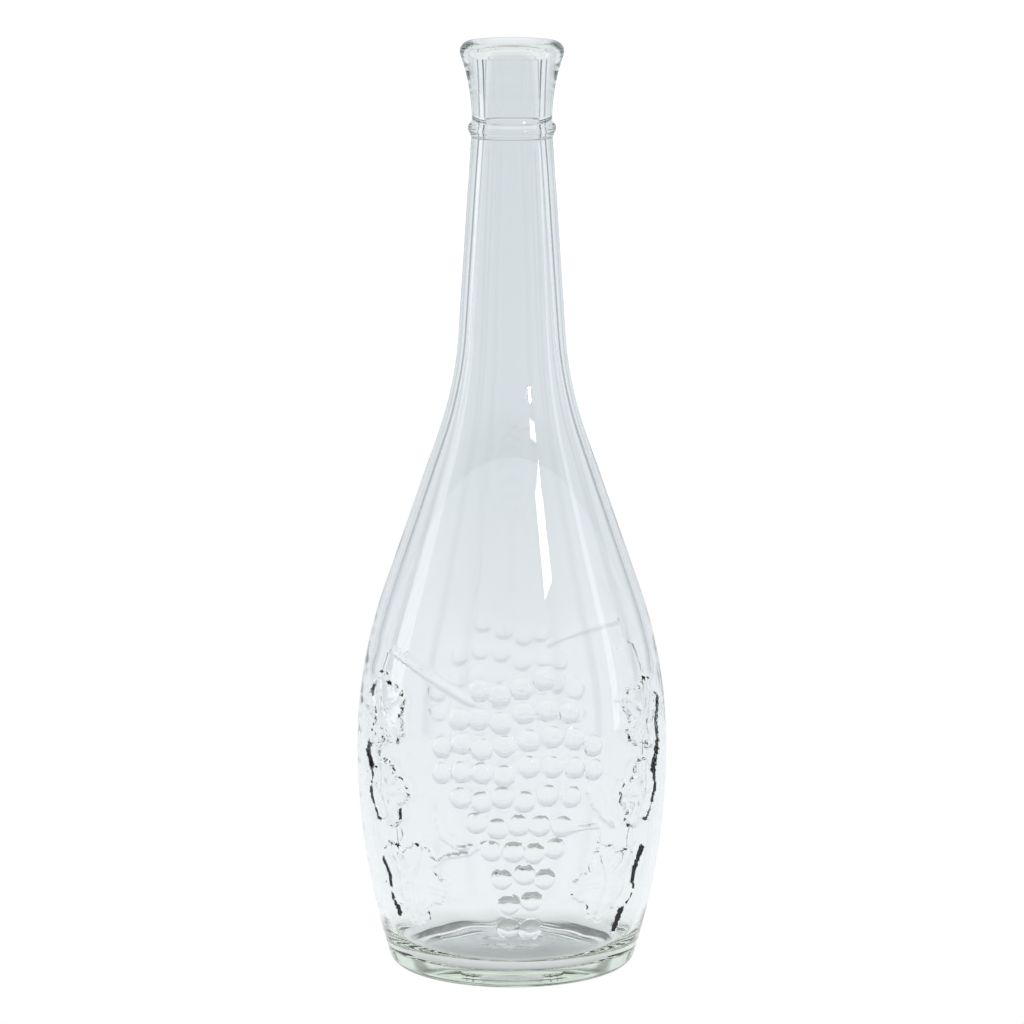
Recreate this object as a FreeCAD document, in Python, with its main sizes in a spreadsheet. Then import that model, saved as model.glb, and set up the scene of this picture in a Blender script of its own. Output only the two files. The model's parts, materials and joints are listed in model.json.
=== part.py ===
import FreeCAD, Part
import os
from math import asin, cos, exp, hypot, pi, radians, sin, sqrt

import Sketcher

# A one-litre decanter bottle, moulded in clear glass in one piece.
# The origin is the centre of the foot, on the plane it stands on. +Z runs up the neck.

DIMENSIONS = {
    # outside, from the foot up
    "height": 311.0,             # foot to the top of the lip
    "push_up": 3.0,              # rise of the underside at its middle
    "foot_inner": 33.5,          # bearing ring, inner radius
    "heel": 4.6,                 # rounding between foot and side
    "mark": 11.0,                # round mark in the underside, radius
    "mark_rise": 0.4,
    "belly": 51.9,               # largest radius
    "belly_level": 74.0,
    "belly_arc_low": 241.0,      # curvature of the side below the belly
    "belly_arc_high": 165.0,     # and above it
    "shoulder_slope": 19.15,     # degrees off vertical
    "neck_sweep": 127.0,         # hollow curve from shoulder to neck
    "neck_slope": 3.76,          # degrees off vertical
    "flare_sweep": 65.0,         # hollow curve from neck to lip
    "waist_level": 284.7,
    "lip": 17.2,
    "lip_round": 3.4,
    # ring below the mouth
    "ring": 14.6,
    "ring_level": 282.3,
    "ring_round": 2.1,
    # inside
    "floor_level": 6.2,
    "inner_heel": 11.0,
    "wall": 3.0,
    "inner_neck_slope": 3.9,
    "bore": 9.25,
    "bore_length": 27.2,
    "bore_step": 0.15,
    "mouth_round": 4.2,
    # embossing
    "berry": 3.9,                # radius of a berry where it meets the side
    "berry_rise": 1.6,
    "leaf_rise": 1.0,
    "stem_width": 2.2,
    "tendril_width": 1.4,
}

FACES = 2                        # the same picture on both halves of the mould
BERRY_TURN = 8.3                 # degrees between neighbours in a row
BERRY_STEP = 8.8                 # height between rows
BERRY_LEVEL = 23.0               # lowest row
BERRY_ROWS = ((2, 2.7), (2, 2.7), (3, 4.0), (4, 4.0), (5, 2.5),
              (6, 1.0), (8, 2.0), (8, 2.0), (6, 0.5), (4, 0.0))    # berries, middle of the row in degrees
LIFT, LIFT_TURN, LIFT_SPREAD = 4.0, 13.0, 9.0    # the upper rows ride up here, right of the middle
LIFT_ROWS = (4, 7)
LEAVES = ((-57.0, 92.0, 14.0, 200.0), (-54.0, 65.0, 13.0, 150.0), (-43.0, 36.0, 16.0, 28.0),
          (59.0, 91.0, 13.5, 160.0), (56.0, 64.0, 13.0, -150.0), (40.0, 36.0, 15.0, -20.0))
                                 # turn and level of the middle, size, tilt
STEMS = (((-54.0, 112.0), (-44.0, 109.5), (-35.0, 106.5), (-25.0, 103.0), (-15.0, 99.0)),)
TENDRILS = (((-33.0, 42.0), (-25.0, 46.8), (-16.0, 48.5), (-9.0, 53.5)),
            ((-29.0, 60.0), (-27.0, 53.5), (-20.0, 50.0), (-15.0, 51.0)),
            ((28.0, 69.5), (30.5, 64.5), (35.0, 59.5), (41.0, 55.5)),
            ((21.0, 56.0), (28.0, 56.6), (34.5, 56.2), (34.5, 47.0)))
LEAF_POINTS = 40
START, END, CENTRE = 1, 2, 3     # the points of a sketch edge
AXIS_H, AXIS_V, ORIGIN = -1, -2, (-1, 1)
LID_CLEARANCE = 2.0              # the hollow's tool stands this far out of the mouth
PRISM_START = 30.0               # leaf prisms start well inside the wall
PRISM_DEPTH = FreeCAD.Vector(0, -32.0, 0)


def add_sheet(doc):
    sheet = doc.addObject("Spreadsheet::Sheet", "dimensions")
    for row, (alias, value) in enumerate(DIMENSIONS.items(), start=1):
        sheet.set("A%d" % row, alias)
        sheet.set("B%d" % row, str(value))
        sheet.setAlias("B%d" % row, alias)
    return sheet


def add_body(doc, name):
    return doc.addObject("PartDesign::Body", name)


def origin_plane(body, role):
    return next(item for item in body.Origin.OriginFeatures if item.Role == role)


def add_sketch(body, name):
    sketch = body.newObject("Sketcher::SketchObject", name)
    sketch.AttachmentSupport = [(origin_plane(body, "XZ_Plane"), "")]
    sketch.MapMode = "FlatFace"
    return sketch


def on_circle(centre, radius, angle):
    return (centre[0] + radius * cos(angle), centre[1] + radius * sin(angle))


def line(a, b):
    return Part.LineSegment(FreeCAD.Vector(a[0], a[1], 0), FreeCAD.Vector(b[0], b[1], 0))


def arc(centre, radius, start, end):
    circle = Part.Circle(FreeCAD.Vector(centre[0], centre[1], 0), FreeCAD.Vector(0, 0, 1), radius)
    return Part.ArcOfCircle(circle, start, end)


def dimension(sketch, name, kind, *where, formula):
    """One named constraint whose value follows the sheet."""
    value = where[-1]
    index = sketch.addConstraint(Sketcher.Constraint(kind, *where[:-1], value))
    sketch.renameConstraint(index, name)
    sketch.setExpression("Constraints." + name, formula)


def sweep_centre(radius, shoulder_point, shoulder_slope, neck_point, neck_slope):
    """The centre that stands off both straight runs by the sweep's radius."""
    off_shoulder = radius + shoulder_point[0] * cos(shoulder_slope) + shoulder_point[1] * sin(shoulder_slope)
    off_neck = radius + neck_point[0] * cos(neck_slope) + neck_point[1] * sin(neck_slope)
    turn = sin(neck_slope - shoulder_slope)
    return ((off_shoulder * sin(neck_slope) - off_neck * sin(shoulder_slope)) / turn,
            (off_neck * cos(shoulder_slope) - off_shoulder * cos(neck_slope)) / turn)


def belly_centres(d):
    low = (d["belly"] - d["belly_arc_low"], d["belly_level"])
    high = (d["belly"] - d["belly_arc_high"], d["belly_level"])
    return low, high


def join(sketch, first, second, smooth):
    """Two edges meet end to end, with or without a corner."""
    kind = "Tangent" if smooth else "Coincident"
    sketch.addConstraint(Sketcher.Constraint(kind, *first, *second))


def add_blank(doc, d):
    """The solid outer shape of the glass, turned about the bottle's axis."""
    body = add_body(doc, "blank")
    sketch = add_sketch(body, "outline")
    low_centre, high_centre = belly_centres(d)
    slope = radians(d["shoulder_slope"])
    neck_slope = radians(d["neck_slope"])
    top = d["height"]
    dome_round = (d["foot_inner"] ** 2 + d["push_up"] ** 2) / (2 * d["push_up"])
    dome_centre = (0.0, d["push_up"] - dome_round)
    heel_reach = d["belly_arc_low"] - d["heel"]
    heel_angle = asin((d["heel"] - d["belly_level"]) / heel_reach)
    heel_centre = on_circle(low_centre, heel_reach, heel_angle)
    lip_centre = (d["lip"] - d["lip_round"], top - d["lip_round"])
    lip_reach = d["flare_sweep"] + d["lip_round"]
    lip_angle = asin((lip_centre[1] - d["waist_level"]) / lip_reach)
    flare_centre = (lip_centre[0] + lip_reach * cos(lip_angle), d["waist_level"])
    shoulder_start = on_circle(high_centre, d["belly_arc_high"], slope)
    neck_end = on_circle(flare_centre, -d["flare_sweep"], neck_slope)
    sweep_middle = sweep_centre(d["neck_sweep"], shoulder_start, slope, neck_end, neck_slope)
    shoulder_end = on_circle(sweep_middle, -d["neck_sweep"], slope)
    neck_start = on_circle(sweep_middle, -d["neck_sweep"], neck_slope)
    edges = [
        arc(dome_centre, dome_round, pi / 2 - asin(d["foot_inner"] / dome_round), pi / 2),
        line((d["foot_inner"], 0), (heel_centre[0], 0)),
        arc(heel_centre, d["heel"], -pi / 2, heel_angle),
        arc(low_centre, d["belly_arc_low"], heel_angle, 0),
        arc(high_centre, d["belly_arc_high"], 0, slope),
        line(shoulder_start, shoulder_end),
        arc(sweep_middle, d["neck_sweep"], pi + neck_slope, pi + slope),
        line(neck_start, neck_end),
        arc(flare_centre, d["flare_sweep"], pi - lip_angle, pi + neck_slope),
        arc(lip_centre, d["lip_round"], -lip_angle, pi / 2),
        line((lip_centre[0], top), (0, top)),
        line((0, top), (0, d["push_up"])),
    ]
    (dome, foot, heel, low, high, shoulder, sweep, neck, flare, lip, rim, axis) = sketch.addGeometry(edges)
    join(sketch, (axis, END), (dome, END), smooth=False)
    join(sketch, (dome, START), (foot, START), smooth=False)
    join(sketch, (foot, END), (heel, START), smooth=True)
    join(sketch, (heel, END), (low, START), smooth=True)
    join(sketch, (low, END), (high, START), smooth=True)
    join(sketch, (high, END), (shoulder, START), smooth=True)
    join(sketch, (shoulder, END), (sweep, END), smooth=True)
    join(sketch, (sweep, START), (neck, START), smooth=True)
    join(sketch, (neck, END), (flare, END), smooth=True)
    join(sketch, (flare, START), (lip, START), smooth=True)
    join(sketch, (lip, END), (rim, START), smooth=True)
    join(sketch, (rim, END), (axis, START), smooth=False)
    for geo, point in ((axis, START), (axis, END), (dome, CENTRE)):
        sketch.addConstraint(Sketcher.Constraint("PointOnObject", geo, point, AXIS_V))
    for flat in (foot, rim):
        sketch.addConstraint(Sketcher.Constraint("Horizontal", flat))
    sketch.addConstraint(Sketcher.Constraint("PointOnObject", foot, START, AXIS_H))
    dimension(sketch, "push_up", "DistanceY", *ORIGIN, axis, END, d["push_up"], formula="dimensions.push_up")
    dimension(sketch, "foot_inner", "DistanceX", *ORIGIN, foot, START, d["foot_inner"],
              formula="dimensions.foot_inner")
    dimension(sketch, "heel", "Radius", heel, d["heel"], formula="dimensions.heel")
    dimension(sketch, "arc_low", "Radius", low, d["belly_arc_low"], formula="dimensions.belly_arc_low")
    dimension(sketch, "belly_level", "DistanceY", *ORIGIN, low, END, d["belly_level"],
              formula="dimensions.belly_level")
    dimension(sketch, "centre_level", "DistanceY", *ORIGIN, low, CENTRE, d["belly_level"],
              formula="dimensions.belly_level")
    dimension(sketch, "belly", "DistanceX", *ORIGIN, low, END, d["belly"], formula="dimensions.belly")
    dimension(sketch, "arc_high", "Radius", high, d["belly_arc_high"], formula="dimensions.belly_arc_high")
    dimension(sketch, "shoulder_slope", "Angle", shoulder, radians(90 + d["shoulder_slope"]),
              formula="90 + dimensions.shoulder_slope")
    dimension(sketch, "sweep", "Radius", sweep, d["neck_sweep"], formula="dimensions.neck_sweep")
    dimension(sketch, "neck_slope", "Angle", neck, radians(90 + d["neck_slope"]),
              formula="90 + dimensions.neck_slope")
    dimension(sketch, "flare", "Radius", flare, d["flare_sweep"], formula="dimensions.flare_sweep")
    dimension(sketch, "waist_level", "DistanceY", *ORIGIN, flare, CENTRE, d["waist_level"],
              formula="dimensions.waist_level")
    dimension(sketch, "lip_round", "Radius", lip, d["lip_round"], formula="dimensions.lip_round")
    dimension(sketch, "lip", "DistanceX", *ORIGIN, lip, CENTRE, lip_centre[0],
              formula="dimensions.lip - dimensions.lip_round")
    dimension(sketch, "height", "DistanceY", *ORIGIN, axis, START, top, formula="dimensions.height")
    turn_sketch(body, sketch, "turned_blank")
    return body


def add_hollow(doc, d):
    """The space inside: floor, even wall up to the neck, straight bore for the cork, rounded mouth."""
    body = add_body(doc, "hollow")
    sketch = add_sketch(body, "inside")
    low_centre, high_centre = belly_centres(d)
    low_round = d["belly_arc_low"] - d["wall"]
    high_round = d["belly_arc_high"] - d["wall"]
    slope = radians(d["shoulder_slope"])
    neck_slope = radians(d["inner_neck_slope"])
    heel_reach = low_round - d["inner_heel"]
    heel_angle = asin((d["floor_level"] + d["inner_heel"] - d["belly_level"]) / heel_reach)
    heel_centre = on_circle(low_centre, heel_reach, heel_angle)
    mouth_level = d["height"] - d["mouth_round"]
    mouth_outer = d["bore"] + d["mouth_round"]
    lid_level = d["height"] + LID_CLEARANCE
    entry = (d["bore"] + d["bore_step"], d["height"] - d["bore_length"])
    bore_start = (d["bore"], entry[1] + d["bore_step"])
    shoulder_start = on_circle(high_centre, high_round, slope)
    sweep_middle = sweep_centre(d["neck_sweep"], shoulder_start, slope, entry, neck_slope)
    edges = [
        line((0, d["floor_level"]), (heel_centre[0], d["floor_level"])),
        arc(heel_centre, d["inner_heel"], -pi / 2, heel_angle),
        arc(low_centre, low_round, heel_angle, 0),
        arc(high_centre, high_round, 0, slope),
        line(shoulder_start, on_circle(sweep_middle, -d["neck_sweep"], slope)),
        arc(sweep_middle, d["neck_sweep"], pi + neck_slope, pi + slope),
        line(on_circle(sweep_middle, -d["neck_sweep"], neck_slope), entry),
        line(entry, bore_start),
        line(bore_start, (d["bore"], mouth_level)),
        arc((mouth_outer, mouth_level), d["mouth_round"], pi / 2, pi),
        line((mouth_outer, d["height"]), (mouth_outer, lid_level)),
        line((mouth_outer, lid_level), (0, lid_level)),
        line((0, lid_level), (0, d["floor_level"])),
    ]
    (floor, heel, low, high, shoulder, sweep, neck, step, bore, mouth, collar, lid, axis) = \
        sketch.addGeometry(edges)
    join(sketch, (axis, END), (floor, START), smooth=False)
    join(sketch, (floor, END), (heel, START), smooth=True)
    join(sketch, (heel, END), (low, START), smooth=True)
    join(sketch, (low, END), (high, START), smooth=True)
    join(sketch, (high, END), (shoulder, START), smooth=True)
    join(sketch, (shoulder, END), (sweep, END), smooth=True)
    join(sketch, (sweep, START), (neck, START), smooth=True)
    join(sketch, (neck, END), (step, START), smooth=False)
    join(sketch, (step, END), (bore, START), smooth=False)
    join(sketch, (bore, END), (mouth, END), smooth=True)
    join(sketch, (mouth, START), (collar, START), smooth=False)
    join(sketch, (collar, END), (lid, START), smooth=False)
    join(sketch, (lid, END), (axis, START), smooth=False)
    for point in (START, END):
        sketch.addConstraint(Sketcher.Constraint("PointOnObject", axis, point, AXIS_V))
    for flat in (floor, lid):
        sketch.addConstraint(Sketcher.Constraint("Horizontal", flat))
    for upright in (bore, collar):
        sketch.addConstraint(Sketcher.Constraint("Vertical", upright))
    dimension(sketch, "floor_level", "DistanceY", *ORIGIN, floor, START, d["floor_level"],
              formula="dimensions.floor_level")
    dimension(sketch, "inner_heel", "Radius", heel, d["inner_heel"], formula="dimensions.inner_heel")
    dimension(sketch, "arc_low", "Radius", low, low_round,
              formula="dimensions.belly_arc_low - dimensions.wall")
    dimension(sketch, "belly_level", "DistanceY", *ORIGIN, low, END, d["belly_level"],
              formula="dimensions.belly_level")
    dimension(sketch, "centre_level", "DistanceY", *ORIGIN, low, CENTRE, d["belly_level"],
              formula="dimensions.belly_level")
    dimension(sketch, "belly", "DistanceX", *ORIGIN, low, END, d["belly"] - d["wall"],
              formula="dimensions.belly - dimensions.wall")
    dimension(sketch, "arc_high", "Radius", high, high_round,
              formula="dimensions.belly_arc_high - dimensions.wall")
    dimension(sketch, "shoulder_slope", "Angle", shoulder, radians(90 + d["shoulder_slope"]),
              formula="90 + dimensions.shoulder_slope")
    dimension(sketch, "sweep", "Radius", sweep, d["neck_sweep"], formula="dimensions.neck_sweep")
    dimension(sketch, "neck_slope", "Angle", neck, radians(90 + d["inner_neck_slope"]),
              formula="90 + dimensions.inner_neck_slope")
    dimension(sketch, "entry", "DistanceX", *ORIGIN, step, START, entry[0],
              formula="dimensions.bore + dimensions.bore_step")
    dimension(sketch, "entry_level", "DistanceY", *ORIGIN, step, START, entry[1],
              formula="dimensions.height - dimensions.bore_length")
    dimension(sketch, "bore", "DistanceX", *ORIGIN, bore, START, d["bore"], formula="dimensions.bore")
    dimension(sketch, "bore_start", "DistanceY", *ORIGIN, bore, START, bore_start[1],
              formula="dimensions.height - dimensions.bore_length + dimensions.bore_step")
    dimension(sketch, "mouth_round", "Radius", mouth, d["mouth_round"], formula="dimensions.mouth_round")
    dimension(sketch, "mouth_level", "DistanceY", *ORIGIN, mouth, CENTRE, mouth_level,
              formula="dimensions.height - dimensions.mouth_round")
    dimension(sketch, "mouth_outer", "DistanceX", *ORIGIN, mouth, START, mouth_outer,
              formula="dimensions.bore + dimensions.mouth_round")
    dimension(sketch, "lid_level", "DistanceY", *ORIGIN, lid, END, lid_level,
              formula="dimensions.height + %r" % LID_CLEARANCE)
    turn_sketch(body, sketch, "turned_hollow")
    return body


def turn_sketch(body, sketch, name):
    turned = body.newObject("PartDesign::Revolution", name)
    turned.Profile = sketch
    turned.ReferenceAxis = (sketch, ["V_Axis"])
    turned.Angle = 360.0
    body.Tip = turned


def side_radius(d, level):
    """Outer radius of the belly at a level, on its two arcs."""
    sweep = d["belly_arc_low"] if level < d["belly_level"] else d["belly_arc_high"]
    return d["belly"] - sweep + sqrt(sweep ** 2 - (level - d["belly_level"]) ** 2)


def on_side(d, turn, level, depth=0.0):
    """A point of the side: turn 0 faces -Y and grows towards +X; depth is measured inwards."""
    radius = side_radius(d, level) - depth
    return FreeCAD.Vector(radius * sin(radians(turn)), -radius * cos(radians(turn)), level)


def berry_lift(row, turn):
    """How far a berry stands above its row's level."""
    low, high = LIFT_ROWS
    share = min(max((row - low) / (high - low), 0.0), 1.0)
    return share * LIFT * exp(-((turn - LIFT_TURN) / LIFT_SPREAD) ** 2)


def add_berries(doc, d):
    ball = (d["berry"] ** 2 + d["berry_rise"] ** 2) / (2 * d["berry_rise"])
    berries = []
    for face in range(FACES):
        for row, (count, middle) in enumerate(BERRY_ROWS):
            for place in range(count):
                turn = middle + (place - (count - 1) / 2) * BERRY_TURN
                level = BERRY_LEVEL + row * BERRY_STEP + berry_lift(row, turn)
                berry = doc.addObject("Part::Sphere", "berry_%03d" % (len(berries) + 1))
                berry.setExpression("Radius", "(dimensions.berry^2 + dimensions.berry_rise^2)"
                                              " / (2 * dimensions.berry_rise) * 1mm")
                berry.Placement.Base = on_side(d, face * 360.0 / FACES + turn, level, ball - d["berry_rise"])
                berries.append(berry)
    return berries


def leaf_outline(size, tilt):
    """A vine leaf's five lobes about its middle, as points of a flat outline."""
    points = []
    for step in range(LEAF_POINTS):
        angle = 2 * pi * step / LEAF_POINTS
        reach = size * (0.58 + 0.42 * abs(cos(2.5 * angle)) ** 0.8)
        points.append((reach * sin(angle + radians(tilt)), reach * cos(angle + radians(tilt))))
    return points


def skin_solid(d):
    """The belly made thicker by a leaf's rise; leaf prisms are trimmed to it."""
    rise = d["leaf_rise"]
    bottom, top = 12.0, 122.0
    corners = [FreeCAD.Vector(side_radius(d, z) + rise, 0, z)
               for z in (bottom, (bottom + d["belly_level"]) / 2, d["belly_level"],
                         (top + d["belly_level"]) / 2, top)]
    lower = Part.Arc(corners[0], corners[1], corners[2]).toShape()
    upper = Part.Arc(corners[2], corners[3], corners[4]).toShape()
    core = d["belly"] / 2
    inner_top = FreeCAD.Vector(core, 0, top)
    inner_bottom = FreeCAD.Vector(core, 0, bottom)
    closing = [Part.makeLine(corners[4], inner_top), Part.makeLine(inner_top, inner_bottom),
               Part.makeLine(inner_bottom, corners[0])]
    face = Part.Face(Part.Wire([lower, upper] + closing))
    return face.revolve(FreeCAD.Vector(0, 0, 0), FreeCAD.Vector(0, 0, 1), 360)


def emboss(doc, name, outline, turn, skin):
    """A flat outline pushed out through the wall and trimmed to the thickened belly."""
    points = [FreeCAD.Vector(x, -PRISM_START, z) for x, z in outline]
    prism = Part.Face(Part.makePolygon(points + points[:1])).extrude(PRISM_DEPTH)
    prism.rotate(FreeCAD.Vector(0, 0, 0), FreeCAD.Vector(0, 0, 1), turn)
    relief = doc.addObject("Part::Feature", name)
    relief.Shape = prism.common(skin)
    return relief


def strip_outline(path, width):
    """The outline of a strip of one width along a path of flat points."""
    left, right = [], []
    for place, (x, z) in enumerate(path):
        before, after = path[max(place - 1, 0)], path[min(place + 1, len(path) - 1)]
        run = hypot(after[0] - before[0], after[1] - before[1])
        across = ((before[1] - after[1]) / run * width / 2, (after[0] - before[0]) / run * width / 2)
        left.append((x + across[0], z + across[1]))
        right.append((x - across[0], z - across[1]))
    return left + right[::-1]


def add_vine(doc, d):
    """Leaves, stems and tendrils of every face of the mould."""
    skin = skin_solid(d)
    relief = []
    for face in range(FACES):
        face_turn = face * 360.0 / FACES
        for turn, level, size, tilt in LEAVES:
            outline = [(x, level + z) for x, z in leaf_outline(size, tilt)]
            relief.append(emboss(doc, "leaf_%02d" % (len(relief) + 1), outline, face_turn + turn, skin))
        for paths, width in ((STEMS, d["stem_width"]), (TENDRILS, d["tendril_width"])):
            for path in paths:
                middle = (path[0][0] + path[-1][0]) / 2
                flat = [(side_radius(d, level) * sin(radians(turn - middle)), level) for turn, level in path]
                outline = strip_outline(flat, width)
                relief.append(emboss(doc, "vine_%02d" % (len(relief) + 1), outline, face_turn + middle, skin))
    return relief


def add_ring(doc):
    ring = doc.addObject("Part::Torus", "ring")
    ring.setExpression("Radius1", "(dimensions.ring - dimensions.ring_round) * 1mm")
    ring.setExpression("Radius2", "dimensions.ring_round * 1mm")
    ring.setExpression("Placement.Base.z", "dimensions.ring_level * 1mm")
    return ring


def add_mark(doc):
    """The shallow round mark that the mould leaves in the middle of the underside."""
    mark = doc.addObject("Part::Cylinder", "mark")
    mark.setExpression("Radius", "dimensions.mark * 1mm")
    mark.setExpression("Height", "(dimensions.push_up + dimensions.mark_rise) * 1mm")
    return mark


def check(doc, part):
    for item in doc.Objects:
        if {"Invalid", "Error"} & set(item.State):
            raise RuntimeError("failed feature: %s %s" % (item.Name, item.State))
    if part.Shape.isNull() or not part.Shape.isValid():
        raise RuntimeError("bad shape: " + part.Label)


def main():
    doc = FreeCAD.newDocument("bottle")
    add_sheet(doc)
    doc.recompute()
    d = {alias: float(doc.dimensions.get(alias)) for alias in DIMENSIONS}
    blank = add_blank(doc, d)
    hollow = add_hollow(doc, d)
    moulded = doc.addObject("Part::MultiFuse", "moulded")
    moulded.Shapes = [blank, add_ring(doc)] + add_vine(doc, d) + add_berries(doc, d)
    marked = doc.addObject("Part::Cut", "marked")
    marked.Base = moulded
    marked.Tool = add_mark(doc)
    bottle = doc.addObject("Part::Cut", "bottle")
    bottle.Base = marked
    bottle.Tool = hollow
    bottle.Label = "bottle"
    bottle.Placement = FreeCAD.Placement()
    doc.recompute()
    check(doc, bottle)
    solid, = bottle.Shape.Solids
    print("glass %.1f ml, box %s" % (solid.Volume / 1000, solid.BoundBox))
    print("hollow to the brim %.0f ml" % (hollow.Shape.Volume / 1000))
    os.makedirs("parts", exist_ok=True)
    solid.exportStep(os.path.join("parts", bottle.Label + ".step"))


main()
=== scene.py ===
import json
from math import asin, cos, exp, pi, radians, sin

import bpy
import numpy as np
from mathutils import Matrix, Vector


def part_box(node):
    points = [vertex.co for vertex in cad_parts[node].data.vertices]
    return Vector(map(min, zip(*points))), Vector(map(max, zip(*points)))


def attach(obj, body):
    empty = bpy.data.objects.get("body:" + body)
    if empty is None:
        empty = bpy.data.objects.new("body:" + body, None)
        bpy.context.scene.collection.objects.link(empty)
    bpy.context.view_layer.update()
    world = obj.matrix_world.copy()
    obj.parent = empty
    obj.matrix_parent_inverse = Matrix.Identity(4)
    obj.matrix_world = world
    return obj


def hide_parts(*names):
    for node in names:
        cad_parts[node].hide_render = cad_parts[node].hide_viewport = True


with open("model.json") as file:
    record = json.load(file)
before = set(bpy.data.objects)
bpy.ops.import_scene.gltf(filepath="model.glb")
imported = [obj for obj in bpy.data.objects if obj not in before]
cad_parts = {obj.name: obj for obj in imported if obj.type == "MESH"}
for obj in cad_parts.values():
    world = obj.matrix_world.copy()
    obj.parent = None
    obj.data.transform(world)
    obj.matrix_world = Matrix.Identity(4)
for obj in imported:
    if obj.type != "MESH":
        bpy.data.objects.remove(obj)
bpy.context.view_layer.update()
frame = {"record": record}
record = frame["record"]

MM = 0.001
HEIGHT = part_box("bottle")[1].z
MOUTH = next(mount for mount in record["mounts"] if mount["name"] == "mouth_bore")
BORE = MOUTH["dims"]["r_mm"] * MM
BORE_LOW = MOUTH["pos_m"][2] - MOUTH["dims"]["length_mm"] * MM / 2

# The outside of the glass, from the foot up.
PUSH_UP = 3.0 * MM
FOOT_INNER = 33.5 * MM
HEEL = 4.6 * MM
MARK = 11.0 * MM
MARK_RISE = 0.4 * MM
BELLY = 51.9 * MM
BELLY_LEVEL = 74.0 * MM
ARC_LOW = 241.0 * MM
ARC_HIGH = 165.0 * MM
SHOULDER = radians(19.15)
SWEEP = 127.0 * MM
NECK = radians(3.76)
RING = 14.6 * MM
RING_LEVEL = 282.3 * MM
RING_ROUND = 2.1 * MM
FLARE = 65.0 * MM
WAIST_LEVEL = 284.7 * MM
LIP = 17.2 * MM
LIP_ROUND = 3.4 * MM
# The inside, from the floor up.
FLOOR = 6.2 * MM
FLOOR_DOME = 1.2 * MM
INNER_HEEL = 11.0 * MM
WALL = 3.0 * MM
INNER_NECK = radians(3.9)
BORE_STEP = 0.15 * MM
MOUTH_ROUND = 4.2 * MM
CREASE = 0.15 * MM
# Edges that turn by more than this stay crisp; the rest of the skin is smooth.
CRISP = radians(40)
# How far the inner skin wanders, and up to which level.
WAVE = 0.13 * MM
WAVE_TOP = 128.0 * MM
# The embossed band and the mesh that carries it.
BAND_LOW = 14.0 * MM
BAND_HIGH = 118.0 * MM
BAND_STEP = 1.4 * MM
SEGMENTS = 200
# The studio: the table's radius in metres, and the brightness of the screens.
TABLE = 1.0
SCREEN_GLOW = 0.94


# ---- the turned shape ----

def on_circle(centre, radius, angle):
    return (centre[0] + radius * cos(angle), centre[1] + radius * sin(angle))


def arc(centre, radius, start, end, steps):
    """Points of an arc after its first one, which belongs to the stretch before it."""
    return [on_circle(centre, radius, start + (end - start) * step / steps) for step in range(1, steps + 1)]


def run(start, end, steps):
    """Points of a straight run after its first one."""
    return [(start[0] + (end[0] - start[0]) * step / steps, start[1] + (end[1] - start[1]) * step / steps)
            for step in range(1, steps + 1)]


def sweep_centre(radius, shoulder_point, shoulder_slope, neck_point, neck_slope):
    """The centre that stands off both straight runs by the sweep's radius."""
    off_shoulder = radius + shoulder_point[0] * cos(shoulder_slope) + shoulder_point[1] * sin(shoulder_slope)
    off_neck = radius + neck_point[0] * cos(neck_slope) + neck_point[1] * sin(neck_slope)
    turn = sin(neck_slope - shoulder_slope)
    return ((off_shoulder * sin(neck_slope) - off_neck * sin(shoulder_slope)) / turn,
            (off_neck * cos(shoulder_slope) - off_shoulder * cos(neck_slope)) / turn)


def side_radius(level):
    """Plain outer radius of the belly at a level or levels."""
    low = BELLY - ARC_LOW + np.sqrt(ARC_LOW ** 2 - (level - BELLY_LEVEL) ** 2)
    high = BELLY - ARC_HIGH + np.sqrt(ARC_HIGH ** 2 - (level - BELLY_LEVEL) ** 2)
    return np.where(level < BELLY_LEVEL, low, high)


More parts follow.
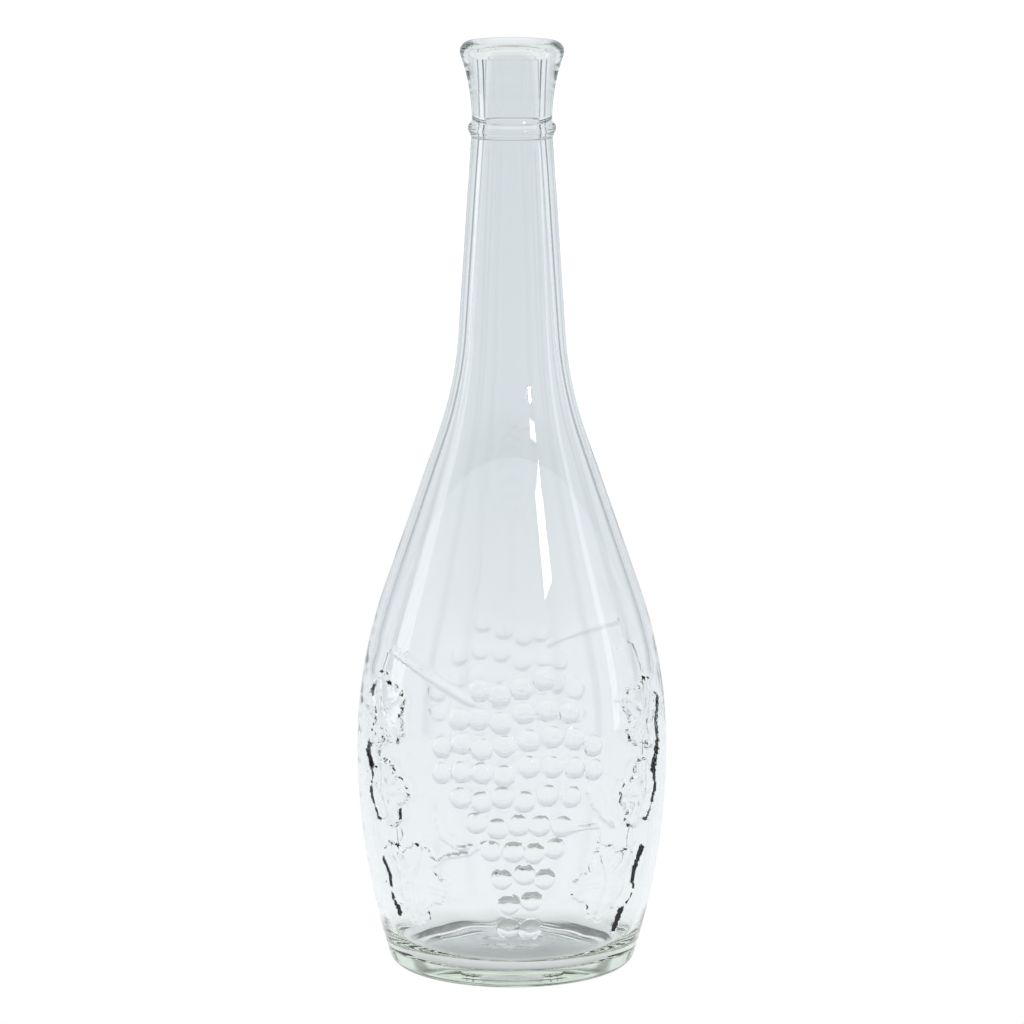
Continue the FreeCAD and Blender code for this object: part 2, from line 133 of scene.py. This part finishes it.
def outside_outline():
    """From the middle of the underside, round the foot and up to the edge of the mouth."""
    low_centre = (BELLY - ARC_LOW, BELLY_LEVEL)
    high_centre = (BELLY - ARC_HIGH, BELLY_LEVEL)
    dome = (FOOT_INNER ** 2 + PUSH_UP ** 2) / (2 * PUSH_UP)
    mark_level = PUSH_UP + MARK_RISE
    mark_foot = on_circle((0.0, PUSH_UP - dome), dome, pi / 2 - asin(MARK / dome))
    points = [(MARK * share, mark_level) for share in (0.0, 0.5, 0.95, 1.0)] + [mark_foot]
    dome_start = pi / 2 - asin(MARK / dome)
    dome_end = pi / 2 - asin(FOOT_INNER / dome)
    points += arc((0.0, PUSH_UP - dome), dome, dome_start, dome_end, 9)
    heel_angle = asin((HEEL - BELLY_LEVEL) / (ARC_LOW - HEEL))
    heel_centre = on_circle(low_centre, ARC_LOW - HEEL, heel_angle)
    points += run(points[-1], (heel_centre[0], 0.0), 2)
    points += arc(heel_centre, HEEL, -pi / 2, heel_angle, 7)
    heel_top = points[-1][1]
    points += [(float(side_radius(level)), level) for level in np.linspace(heel_top, BAND_LOW, 5)[1:]]
    rows = round((BAND_HIGH - BAND_LOW) / BAND_STEP)
    points += [(float(side_radius(level)), level) for level in np.linspace(BAND_LOW, BAND_HIGH, rows + 1)[1:]]
    band_angle = asin((BAND_HIGH - BELLY_LEVEL) / ARC_HIGH)
    points += arc(high_centre, ARC_HIGH, band_angle, SHOULDER, 4)
    lip_centre = (LIP - LIP_ROUND, HEIGHT - LIP_ROUND)
    lip_reach = FLARE + LIP_ROUND
    lip_angle = asin((lip_centre[1] - WAIST_LEVEL) / lip_reach)
    flare_centre = (lip_centre[0] + lip_reach * cos(lip_angle), WAIST_LEVEL)
    neck_end = on_circle(flare_centre, -FLARE, NECK)
    middle = sweep_centre(SWEEP, points[-1], SHOULDER, neck_end, NECK)
    points += run(points[-1], on_circle(middle, -SWEEP, SHOULDER), 4)
    points += arc(middle, SWEEP, pi + SHOULDER, pi + NECK, 9)
    ring_centre = (RING - RING_ROUND, RING_LEVEL)
    ring_foot = neck_end[1] - RING_ROUND * 0.6
    foot_radius = neck_end[0] + (neck_end[1] - ring_foot) * sin(NECK)
    points += run(points[-1], (foot_radius, ring_foot), 4)
    points += arc(ring_centre, RING_ROUND, radians(-55), radians(55), 9)
    ring_top = points[-1][1]
    flare_start = asin((ring_top - WAIST_LEVEL + RING_ROUND * 0.35) / FLARE)
    points += [on_circle(flare_centre, -FLARE, -flare_start)]
    points += arc(flare_centre, FLARE, pi - flare_start, pi - lip_angle, 7)
    points += arc(lip_centre, LIP_ROUND, -lip_angle, pi / 2, 9)
    points += [(BORE + MOUTH_ROUND + CREASE, HEIGHT)]
    return points


def inside_outline():
    """From the edge of the mouth down the bore to the middle of the floor."""
    low_round = ARC_LOW - WALL
    high_round = ARC_HIGH - WALL
    low_centre = (BELLY - ARC_LOW, BELLY_LEVEL)
    high_centre = (BELLY - ARC_HIGH, BELLY_LEVEL)
    mouth_centre = (BORE + MOUTH_ROUND + CREASE, HEIGHT - MOUTH_ROUND)
    entry = (BORE + BORE_STEP, BORE_LOW - BORE_STEP)
    shoulder_top = on_circle(high_centre, high_round, SHOULDER)
    middle = sweep_centre(SWEEP, shoulder_top, SHOULDER, entry, INNER_NECK)
    heel_angle = asin((FLOOR + INNER_HEEL - BELLY_LEVEL) / (low_round - INNER_HEEL))
    heel_centre = on_circle(low_centre, low_round - INNER_HEEL, heel_angle)
    points = arc(mouth_centre, MOUTH_ROUND, pi / 2, pi, 7)
    points += [(BORE, mouth_centre[1] - CREASE)]
    points += run(points[-1], (BORE, BORE_LOW), 3)
    points += [entry]
    points += run(entry, on_circle(middle, -SWEEP, INNER_NECK), 5)
    points += arc(middle, SWEEP, pi + INNER_NECK, pi + SHOULDER, 9)
    points += run(points[-1], shoulder_top, 12)
    points += arc(high_centre, high_round, SHOULDER, 0, 16)
    points += arc(low_centre, low_round, 0, heel_angle, 16)
    points += arc(heel_centre, INNER_HEEL, heel_angle, -pi / 2, 9)
    floor_edge = points[-1][0]
    for step in range(1, 11):
        share = 1 - step / 10
        points += [(floor_edge * share, FLOOR + FLOOR_DOME * (1 - share ** 2) ** 2)]
    return points


def turn_glass(outline):
    """Spins the outline about the bottle's axis and closes the seam and both poles."""
    mesh = bpy.data.meshes.new("glass_bottle")
    edges = [(place, place + 1) for place in range(len(outline) - 1)]
    mesh.from_pydata([(radius, 0.0, level) for radius, level in outline], edges, [])
    glass = bpy.data.objects.new("glass_bottle", mesh)
    bpy.context.scene.collection.objects.link(glass)
    bpy.ops.object.select_all(action="DESELECT")
    glass.select_set(True)
    bpy.context.view_layer.objects.active = glass
    bpy.ops.object.mode_set(mode="EDIT")
    bpy.ops.mesh.select_all(action="SELECT")
    bpy.ops.mesh.spin(steps=SEGMENTS, angle=2 * pi, center=(0, 0, 0), axis=(0, 0, 1))
    bpy.ops.mesh.select_all(action="SELECT")
    bpy.ops.mesh.remove_doubles(threshold=0.00002)
    bpy.ops.mesh.normals_make_consistent(inside=False)
    bpy.ops.object.mode_set(mode="OBJECT")
    return glass


def split_band(glass):
    """Halves the faces of the embossed band, outside only, so that it can hold the picture."""
    bpy.ops.object.mode_set(mode="EDIT")
    bpy.ops.mesh.select_mode(type="FACE")
    bpy.ops.mesh.select_all(action="DESELECT")
    bpy.ops.object.mode_set(mode="OBJECT")
    half_wall = WALL / 2
    for face in glass.data.polygons:
        x, y, z = face.center
        on_outside = (x * x + y * y) ** 0.5 > float(side_radius(z)) - half_wall if z < BAND_HIGH else False
        face.select = on_outside and BAND_LOW < z < BAND_HIGH
    bpy.ops.object.mode_set(mode="EDIT")
    bpy.ops.mesh.subdivide(number_cuts=1, ngon=False)
    bpy.ops.object.mode_set(mode="OBJECT")


# ---- the embossed picture ----
# Places are (turn in degrees, level in mm): turn 0 faces -Y and grows towards +X.

# All sizes here are in millimetres. BACK is the share of the height that the picture has on the back.
BACK = 0.28
BERRY = 3.65
BERRY_RISE = 1.5
BERRY_TURN = 8.3
BERRY_STEP = 8.8
BERRY_LEVEL = 23.0
BERRY_ROWS = ((2, 2.7), (2, 2.7), (3, 4.0), (4, 4.0), (5, 2.5),
              (6, 1.0), (8, 2.0), (8, 2.0), (6, 0.5), (4, 0.0))
# The berries' steep edge, and the usual distance between the band's vertices.
RIM = 0.3
CELL = 0.76
# The upper rows of berries ride up round one turn.
LIFT, LIFT_TURN, LIFT_SPREAD = 4.0, 13.0, 9.0
LIFT_ROWS = (4, 7)
# Each leaf: turn, level, size, and the angle that it is tilted by.
LEAVES = ((-57.0, 92.0, 14.0, 200.0), (-54.0, 65.0, 13.0, 150.0), (-43.0, 36.0, 16.0, 28.0),
          (59.0, 91.0, 13.5, 160.0), (56.0, 64.0, 13.0, -150.0), (40.0, 36.0, 15.0, -20.0))
LEAF_EDGE = 0.45
LEAF_RISE = 0.8
VEIN_RISE = 0.25
# Paths of the raised lines, each kind with its width and its rise.
STEM_SIZE = (2.4, 1.2)
TENDRIL_SIZE = (1.7, 0.8)
VINE_SIZE = (1.7, 1.25)
STEMS = (((-54.0, 112.0), (-44.0, 109.5), (-35.0, 106.5), (-25.0, 103.0), (-15.0, 99.0)),)
TENDRILS = (((-33.0, 42.0), (-25.0, 46.8), (-16.0, 48.5), (-9.0, 53.5)),
            ((-29.0, 60.0), (-27.0, 53.5), (-20.0, 50.0), (-15.0, 51.0)),
            ((28.0, 69.5), (30.5, 64.5), (35.0, 59.5), (41.0, 55.5)),
            ((21.0, 56.0), (28.0, 56.6), (34.5, 56.2), (34.5, 47.0)))
VINES = (((-61.0, 103.0), (-66.0, 98.0), (-60.0, 90.0), (-63.0, 83.0), (-67.0, 77.0), (-61.5, 70.0),
          (-63.5, 63.0), (-59.0, 56.0)),
         ((-58.0, 41.0), (-54.5, 36.0), (-55.5, 30.0), (-53.0, 23.0)),
         ((70.0, 94.0), (66.5, 86.0), (68.0, 78.0), (64.0, 71.0), (65.0, 64.0), (60.0, 55.0)),
         ((59.0, 45.0), (55.0, 38.0), (55.5, 31.0), (50.5, 25.0), (48.0, 18.0)))


def smooth(low, high, values):
    share = np.clip((values - low) / (high - low), 0, 1)
    return share * share * (3 - 2 * share)


def hash_wave(u, v):
    """A soft uneven pattern, a few millimetres from crest to crest."""
    return (np.sin(2.1 * u + 1.3 * np.sin(1.1 * v)) * np.sin(1.9 * v + 1.7 * np.sin(0.9 * u))
            + 0.5 * np.sin(3.7 * u - 2.3 * v) * np.sin(2.9 * u + 3.1 * v)) / 1.5


def flat_place(turn, level, centre_turn, centre_level):
    """Millimetres across and up from a centre, along the belly."""
    radius = side_radius(centre_level * MM) / MM
    away = (turn - centre_turn + 180) % 360 - 180
    return np.radians(away) * radius, level - centre_level


def berry_lift(row, turn):
    """How far a berry stands above its row's level: the upper rows ride up right of the middle."""
    share = float(smooth(*LIFT_ROWS, row))
    return share * LIFT * exp(-((turn - LIFT_TURN) / LIFT_SPREAD) ** 2)


def berry_places():
    """Turn and level of each berry, a little uneven as a real bunch is."""
    places = []
    for row, (count, middle) in enumerate(BERRY_ROWS):
        for place in range(count):
            turn = middle + (place - (count - 1) / 2) * BERRY_TURN
            level = BERRY_LEVEL + row * BERRY_STEP + berry_lift(row, turn)
            stray_turn = 0.7 * sin(12.9 * row + 7.3 * place)
            stray_level = 0.9 * sin(5.1 * row + 3.7 * place)
            places.append((turn + stray_turn, level + stray_level))
    return places


def shift(turn, level, close, u, v, share):
    """Moves the close places away from a centre by a share of their distance from it."""
    turn[close] += np.degrees(u[close] * share[close]) / (side_radius(level[close] * MM) / MM)
    level[close] += v[close] * share[close]


def snap_to_edge(turn, level, u, v, edge, rim):
    """Gathers the places near an edge on its foot and on its crest, which makes a clean wall."""
    away = np.hypot(u, v) + 1e-6
    foot = np.abs(edge - away) < CELL / 2
    crest = np.abs(edge - away - max(rim, CELL)) < CELL / 2
    shift(turn, level, foot, u, v, edge / away - 1)
    shift(turn, level, crest, u, v, (edge - rim) / away - 1)


def snap_to_berries(turn, level):
    """Gives every berry a clean round edge in the mesh."""
    for centre_turn, centre_level in berry_places():
        u, v = flat_place(turn, level, centre_turn, centre_level)
        snap_to_edge(turn, level, u, v, BERRY, RIM)


def leaf_reach(angle, size):
    """How far the leaf's edge lies from its middle: five broad lobes with soft teeth."""
    lobes = 0.83 + 0.11 * np.cos(5 * angle) - 0.03 * np.cos(10 * angle)
    return size * (lobes + 0.03 * np.sin(21 * angle) + 0.03 * np.sin(3 * angle))


def snap_to_leaves(turn, level):
    """Gives every leaf a clean edge in the mesh."""
    for centre_turn, centre_level, size, tilt in LEAVES:
        u, v = flat_place(turn, level, centre_turn, centre_level)
        reach = leaf_reach(np.arctan2(u, v) - radians(tilt), size)
        snap_to_edge(turn, level, u, v, reach, LEAF_EDGE)


def berry_relief(turn, level):
    """Height of the berries: domes that stand up steeply from the side."""
    height = np.zeros_like(turn)
    for centre_turn, centre_level in berry_places():
        u, v = flat_place(turn, level, centre_turn, centre_level)
        inside = np.clip(1 - (np.hypot(u, v) / BERRY) ** 2.6, 0, 1)
        height = np.maximum(height, BERRY_RISE * np.sqrt(inside))
    return height


def leaf_relief(turn, level, centre_turn, centre_level, size, tilt):
    """Height of one leaf: a steep edge, a cupped middle and a soft vein along each lobe."""
    u, v = flat_place(turn, level, centre_turn, centre_level)
    angle = np.arctan2(u, v) - radians(tilt)
    distance = np.hypot(u, v)
    inward = leaf_reach(angle, size) - distance
    rise = np.clip(inward / LEAF_EDGE, 0, 1)
    cupped = 0.72 + 0.28 * smooth(0, 0.8 * size, distance)
    vein_angle = (angle + pi / 5) % (2 * pi / 5) - pi / 5
    vein = np.exp(-(distance * np.sin(vein_angle) / 0.8) ** 2) * (1 - smooth(0.7 * size, size, distance))
    return rise * (LEAF_RISE * cupped + VEIN_RISE * vein + 0.05 * hash_wave(u, v))


def strip_relief(turn, level, path, width, rise):
    """A rounded stem along a path."""
    nearest = np.full_like(turn, 1e9)
    for (turn_a, level_a), (turn_b, level_b) in zip(path, path[1:]):
        u, v = flat_place(turn, level, turn_a, level_a)
        run_u, run_v = flat_place(np.array([turn_b]), np.array([level_b]), turn_a, level_a)
        share = np.clip((u * run_u + v * run_v) / (run_u ** 2 + run_v ** 2), 0, 1)
        nearest = np.minimum(nearest, np.hypot(u - share * run_u, v - share * run_v))
    inside = np.clip(1 - (nearest / (width / 2)) ** 2, 0, 1)
    return rise * np.sqrt(inside)


def picture(turn, level):
    """Height of the whole picture over the plain side, in millimetres."""
    height = berry_relief(turn, level)
    for leaf in LEAVES:
        height = np.maximum(height, leaf_relief(turn, level, *leaf))
    for paths, size in ((STEMS, STEM_SIZE), (TENDRILS, TENDRIL_SIZE), (VINES, VINE_SIZE)):
        for path in paths:
            height = np.maximum(height, strip_relief(turn, level, path, *size))
    return height


def emboss(glass):
    """Moves the outer wall's vertices of the band out by the picture's height."""
    mesh = glass.data
    places = np.empty(len(mesh.vertices) * 3)
    mesh.vertices.foreach_get("co", places)
    places = places.reshape(-1, 3)
    radius = np.hypot(places[:, 0], places[:, 1])
    plain = side_radius(np.clip(places[:, 2], 0, BAND_HIGH))
    in_band = np.abs(places[:, 2] - (BAND_LOW + BAND_HIGH) / 2) < (BAND_HIGH - BAND_LOW) / 2 + MM * 0.01
    band = in_band & (radius > plain - WALL / 2)
    turn = np.degrees(np.arctan2(places[band, 0], -places[band, 1]))
    level = places[band, 2] / MM
    front = np.abs(turn) < 90
    half_turn = np.where(front, turn, (turn + 360) % 360 - 180)
    snap_to_leaves(half_turn, level)
    snap_to_berries(half_turn, level)
    fade_in = smooth(BAND_LOW / MM, BAND_LOW / MM + 4, level)
    fade = fade_in * (1 - smooth(BAND_HIGH / MM - 3, BAND_HIGH / MM, level))
    raised = picture(half_turn, level) * fade * np.where(front, 1.0, BACK)
    turn = np.radians(np.where(front, half_turn, half_turn + 180))
    reach = side_radius(level * MM) + raised * MM
    places[band] = np.stack([reach * np.sin(turn), -reach * np.cos(turn), level * MM], axis=1)
    mesh.vertices.foreach_set("co", places.ravel())
    mesh.update()


def wave_inside(glass):
    """Lets the inner skin and the floor wander a little in slow waves, as they do in blown glass."""
    mesh = glass.data
    places = np.empty(len(mesh.vertices) * 3)
    mesh.vertices.foreach_get("co", places)
    places = places.reshape(-1, 3)
    radius = np.hypot(places[:, 0], places[:, 1])
    level = places[:, 2]
    plain = side_radius(np.clip(level, 0, WAVE_TOP))
    wall = (level > FLOOR + INNER_HEEL) & (level < WAVE_TOP) & (radius < plain - WALL / 2)
    floor = (level > FLOOR - WALL) & (level < FLOOR + INNER_HEEL) & (radius < plain - WALL / 2)
    turn = np.arctan2(places[:, 0], -places[:, 1])
    wave = np.sin(9 * turn + 250 * level) * np.sin(310 * level + 2 * np.sin(4 * turn))
    fade = 1 - smooth(WAVE_TOP - 0.03, WAVE_TOP, level[wall])
    places[wall, :2] *= (1 + WAVE * wave[wall] * fade / radius[wall])[:, None]
    swirl = np.sin(3 * turn + 180 * radius) * np.sin(290 * radius) * smooth(0, 0.01, radius)
    places[floor, 2] += WAVE * 1.5 * swirl[floor]
    mesh.vertices.foreach_set("co", places.ravel())
    mesh.update()


# ---- materials ----

def new_material(name):
    material = bpy.data.materials.new(name)
    material.use_nodes = True
    material.node_tree.nodes.clear()
    return material, material.node_tree.nodes, material.node_tree.links


def clear_glass():
    """Flint glass: faintly green in thick places, fire-polished, with slow waves in its skin and a breath
    of dust."""
    material, nodes, links = new_material("clear_glass")
    output = nodes.new("ShaderNodeOutputMaterial")
    glass = nodes.new("ShaderNodeBsdfPrincipled")
    glass.inputs["Base Color"].default_value = (0.975, 0.985, 0.985, 1)
    glass.inputs["Transmission Weight"].default_value = 0.994
    glass.inputs["IOR"].default_value = 1.52
    place = nodes.new("ShaderNodeTexCoord")
    smear = nodes.new("ShaderNodeTexNoise")
    smear.inputs["Scale"].default_value = 60.0
    smear.inputs["Detail"].default_value = 3.0
    links.new(place.outputs["Object"], smear.inputs["Vector"])
    rough = nodes.new("ShaderNodeMapRange")
    rough.inputs["From Min"].default_value = 0.55
    rough.inputs["From Max"].default_value = 0.8
    rough.inputs["To Min"].default_value = 0.0
    rough.inputs["To Max"].default_value = 0.05
    links.new(smear.outputs["Fac"], rough.inputs["Value"])
    links.new(rough.outputs["Result"], glass.inputs["Roughness"])
    stretch = nodes.new("ShaderNodeMapping")
    stretch.inputs["Scale"].default_value = (1.0, 1.0, 0.45)
    links.new(place.outputs["Object"], stretch.inputs["Vector"])
    wave = nodes.new("ShaderNodeTexNoise")
    wave.inputs["Scale"].default_value = 45.0
    wave.inputs["Detail"].default_value = 1.0
    links.new(stretch.outputs["Vector"], wave.inputs["Vector"])
    bump = nodes.new("ShaderNodeBump")
    bump.inputs["Strength"].default_value = 0.12
    bump.inputs["Distance"].default_value = 0.0006
    links.new(wave.outputs["Fac"], bump.inputs["Height"])
    links.new(bump.outputs["Normal"], glass.inputs["Normal"])
    tint = nodes.new("ShaderNodeVolumeAbsorption")
    tint.inputs["Color"].default_value = (0.77, 0.87, 0.63, 1)
    tint.inputs["Density"].default_value = 9.0
    links.new(glass.outputs["BSDF"], output.inputs["Surface"])
    links.new(tint.outputs["Volume"], output.inputs["Volume"])
    return material


def painted_shadow_table_glow():
    """White to the eye; to the glass a glowing table with painted light: a painted shadow under the foot and
    painted dimming that makes it greyer far away.
    """
    material, nodes, links = new_material("pale_table_painted_shadow")
    output = nodes.new("ShaderNodeOutputMaterial")
    light = nodes.new("ShaderNodeEmission")
    place = nodes.new("ShaderNodeTexCoord")
    reach = nodes.new("ShaderNodeVectorMath")
    reach.operation = "LENGTH"
    links.new(place.outputs["Object"], reach.inputs[0])
    # Painted shadow: the glow is dark grey right under the foot and bright just outside it, and painted
    # dimming makes it greyer towards the far edge.
    ramp = nodes.new("ShaderNodeValToRGB")
    stops = ramp.color_ramp.elements
    stops[0].position = 0.022
    stops[0].color = (0.40, 0.43, 0.43, 1)
    stops[1].position = 1.0
    stops[1].color = (0.775, 0.815, 0.865, 1)
    near = stops.new(0.05)
    near.color = (0.94, 0.955, 0.985, 1)
    links.new(reach.outputs["Value"], ramp.inputs["Fac"])
    eye = nodes.new("ShaderNodeLightPath")
    mix = nodes.new("ShaderNodeMix")
    mix.data_type = "RGBA"
    links.new(eye.outputs["Is Camera Ray"], mix.inputs["Factor"])
    links.new(ramp.outputs["Color"], mix.inputs[6])
    mix.inputs[7].default_value = (1, 1, 1, 1)
    links.new(mix.outputs[2], light.inputs["Color"])
    links.new(light.outputs["Emission"], output.inputs["Surface"])
    return material


# ---- the studio ----

def add_table():
    bpy.ops.object.select_all(action="DESELECT")
    bpy.ops.mesh.primitive_circle_add(vertices=64, radius=TABLE, fill_type="NGON", location=(0, 0, -0.0004))
    table = bpy.context.active_object
    table.name = "table"
    table.data.materials.append(painted_shadow_table_glow())


def softbox(name, azimuth, elevation, distance, size_x, size_y, power, aim_level, spread=180):
    """A rectangular light that stands round the bottle and faces its axis. Azimuth 0 is in front."""
    light = bpy.data.lights.new(name, "AREA")
    light.shape = "RECTANGLE"
    light.size = size_x
    light.size_y = size_y
    light.energy = power
    light.spread = radians(spread)
    lamp = bpy.data.objects.new(name, light)
    target = Vector((0, 0, aim_level))
    away = Vector((sin(radians(azimuth)) * cos(radians(elevation)),
                   -cos(radians(azimuth)) * cos(radians(elevation)), sin(radians(elevation))))
    lamp.location = target + away * distance
    lamp.rotation_euler = (-away).to_track_quat("-Z", "Y").to_euler()
    lamp.visible_transmission = False
    bpy.context.scene.collection.objects.link(lamp)


def math_node(tree, operation, *values):
    node = tree.nodes.new("ShaderNodeMath")
    node.operation = operation
    for socket, value in zip(node.inputs, values):
        if isinstance(value, bpy.types.NodeSocket):
            tree.links.new(value, socket)
        else:
            socket.default_value = value
    return node.outputs[0]


def ramp_node(tree, value, stops):
    """A grey ramp over a value; stops are (position, brightness)."""
    ramp = tree.nodes.new("ShaderNodeValToRGB")
    marks = ramp.color_ramp.elements
    for place, (position, grey) in enumerate(stops):
        mark = marks[place] if place < 2 else marks.new(position)
        mark.position = position
        mark.color = (grey, grey, grey, 1)
    tree.links.new(value, ramp.inputs["Fac"])
    return ramp.outputs["Color"]


def add_room():
    """Pale screens all round, with dark posts between them and a dim cove above; the eye sees only white."""
    world = bpy.data.worlds.new("studio")
    world.use_nodes = True
    bpy.context.scene.world = world
    tree = world.node_tree
    place = tree.nodes.new("ShaderNodeTexCoord")
    parts = tree.nodes.new("ShaderNodeSeparateXYZ")
    tree.links.new(place.outputs["Generated"], parts.inputs[0])
    east, north, up = parts.outputs
    turn = math_node(tree, "ARCTAN2", math_node(tree, "ABSOLUTE", east), math_node(tree, "ABSOLUTE", north))
    posts = ramp_node(tree, math_node(tree, "MULTIPLY", turn, 2 / pi),
                      [(0.36, 1.0), (0.40, 0.45), (0.45, 0.45), (0.50, 1.0),
                       (0.70, 1.0), (0.73, 0.1), (0.77, 0.1), (0.80, 1.0)])
    sides = ramp_node(tree, math_node(tree, "ABSOLUTE", north), [(0.85, 0.94), (0.95, 0.80)])
    cove = ramp_node(tree, up, [(0.30, 1.0), (0.44, 0.4), (0.62, 0.4), (0.74, 0.9)])
    lit = math_node(tree, "MULTIPLY", math_node(tree, "MULTIPLY", posts, sides), cove)
    eye = tree.nodes.new("ShaderNodeLightPath")
    shown = math_node(tree, "MAXIMUM", math_node(tree, "MULTIPLY", lit, SCREEN_GLOW),
                      math_node(tree, "MULTIPLY", eye.outputs["Is Camera Ray"], 1.1))
    back = tree.nodes["Background"]
    back.inputs["Color"].default_value = (0.95, 1.0, 1.06, 1)
    tree.links.new(shown, back.inputs["Strength"])


def add_lights():
    softbox("left_strip", -98, 8, 0.9, 0.24, 1.1, 1.3, 0.16)
    softbox("right_strip", 83, 8, 0.9, 0.10, 1.1, 0.6, 0.16)
    softbox("shoulder_light", 35, 24.7, 0.7, 0.10, 0.052, 0.2, 0.15)
    softbox("neck_light", 33, 12.6, 0.5, 0.035, 0.030, 0.02, 0.2, 10)


def add_camera():
    elevation = radians(10.5)
    target = Vector((0, 0, 0.1536))
    distance = 1.900
    camera_data = bpy.data.cameras.new("camera")
    camera_data.sensor_width = 36.0
    camera_data.lens = 200.3
    camera = bpy.data.objects.new("camera", camera_data)
    away = Vector((0, -cos(elevation), sin(elevation)))
    camera.location = target + away * distance
    camera.rotation_euler = (-away).to_track_quat("-Z", "Y").to_euler()
    bpy.context.scene.collection.objects.link(camera)
    bpy.context.scene.camera = camera


def set_colours():
    scene = bpy.context.scene
    scene.view_settings.view_transform = "Standard"
    scene.view_settings.look = "None"
    scene.cycles.max_bounces = 40
    scene.cycles.transmission_bounces = 40
    scene.cycles.glossy_bounces = 12
    scene.cycles.caustics_reflective = False
    scene.cycles.caustics_refractive = False


add_camera()
add_table()
add_room()
add_lights()
set_colours()
bottle = turn_glass(outside_outline() + inside_outline())
split_band(bottle)
emboss(bottle)
wave_inside(bottle)
bpy.ops.object.select_all(action="DESELECT")
bottle.select_set(True)
bpy.context.view_layer.objects.active = bottle
bpy.ops.object.shade_smooth_by_angle(angle=CRISP)
bottle.data.materials.append(clear_glass())
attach(bottle, "root")
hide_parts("bottle")
